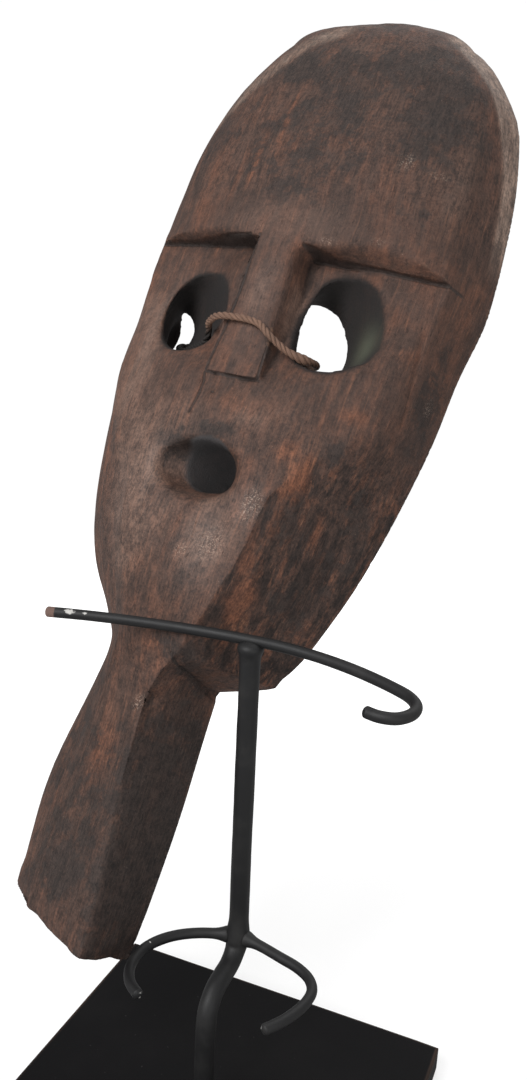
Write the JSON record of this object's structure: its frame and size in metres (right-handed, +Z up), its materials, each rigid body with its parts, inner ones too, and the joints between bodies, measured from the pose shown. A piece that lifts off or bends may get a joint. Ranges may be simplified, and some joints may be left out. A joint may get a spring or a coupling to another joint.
{
  "type": "paddle mask",
  "caption": "Carved wooden paddle-shaped face mask with pierced eyes and mouth, nose cord and short handle, held upright by a bent iron rod stand with a bowed rest and a square flat base.",
  "frame": {"origin": "middle of the base's flat underside, at floor level", "axes": "+Z up, -Y is the front that the square base and the rest's bow face, +X to the viewer's right"},
  "size_m": [0.194, 0.2961, 0.4526],
  "materials": {
    "carved_wood": "dark aged wood with worn reddish patches and a low sheen",
    "plant_fibre": "twisted reddish-brown fibre",
    "black_rod": "semi-matte black with worn ends",
    "black_plate": "matte black"
  },
  "bodies": {
    "root": {"mask": "carved_wood", "nose_cord": "plant_fibre", "upright": "black_rod", "crossbar": "black_rod", "cradle_arm_left": "black_rod", "cradle_arm_right": "black_rod", "base": "black_plate"}
  },
  "joints": []
}
